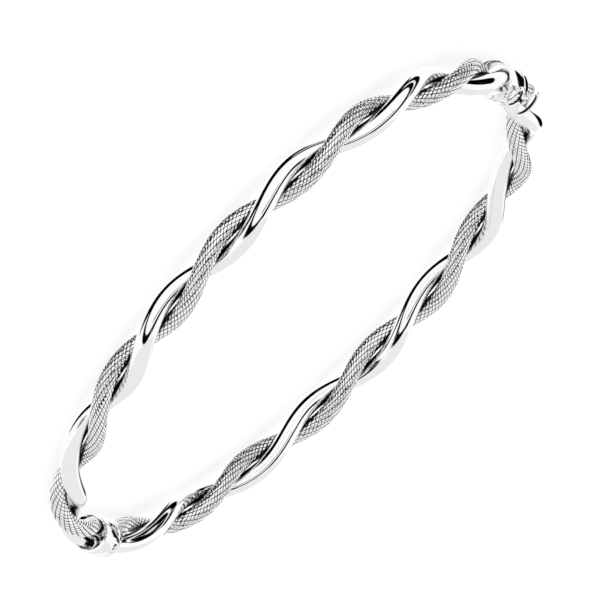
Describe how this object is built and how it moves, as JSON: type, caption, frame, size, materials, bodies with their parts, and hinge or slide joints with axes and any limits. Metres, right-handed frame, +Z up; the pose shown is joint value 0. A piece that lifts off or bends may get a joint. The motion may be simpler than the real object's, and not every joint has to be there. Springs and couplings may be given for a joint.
{
  "type": "hinged twisted wire bangle",
  "caption": "Hinged oval bangle of a polished strand twisted round a woven wire strand, with a tongue clasp and a wire safety catch.",
  "frame": {"origin": "on the floor below the middle of the bangle's box, with the bangle lying on its side", "axes": "+X from the clasp to the hinge, +Y from the near half to the far half, +Z up through the wrist hollow"},
  "size_m": [0.0682, 0.0576, 0.0052],
  "materials": {
    "polished_strand": "mirror polish",
    "woven_strand": "woven bright wire",
    "fittings": "bright polish",
    "small_parts": "bright polish"
  },
  "bodies": {
    "near_half": {"near_polished_strand": "polished_strand", "near_mesh_strand": "woven_strand", "near_hinge_cup": "fittings", "near_clasp_cup": "fittings", "hinge_pin": "small_parts"},
    "far_half": {"far_polished_strand": "polished_strand", "far_mesh_strand": "woven_strand", "far_hinge_plate": "fittings", "far_clasp_plate": "fittings", "catch_peg": "small_parts"},
    "catch": {"safety_catch": "small_parts"}
  },
  "joints": [
    {"name": "hinge", "type": "hinge", "parent": "near_half", "child": "far_half", "pos_m": [0.03165, 0.0022, 0.00215], "axis": [0, 0, -1], "range_deg": [0, 50]},
    {"name": "catch_pivot", "type": "hinge", "parent": "near_half", "child": "catch", "pos_m": [-0.03188, -0.0021, 0.00467], "axis": [1, 0, 0], "range_deg": [0, 165]}
  ],
  "couplings": [
    {"joint": "catch_pivot", "follows": "hinge", "ratio": 3.3}
  ]
}
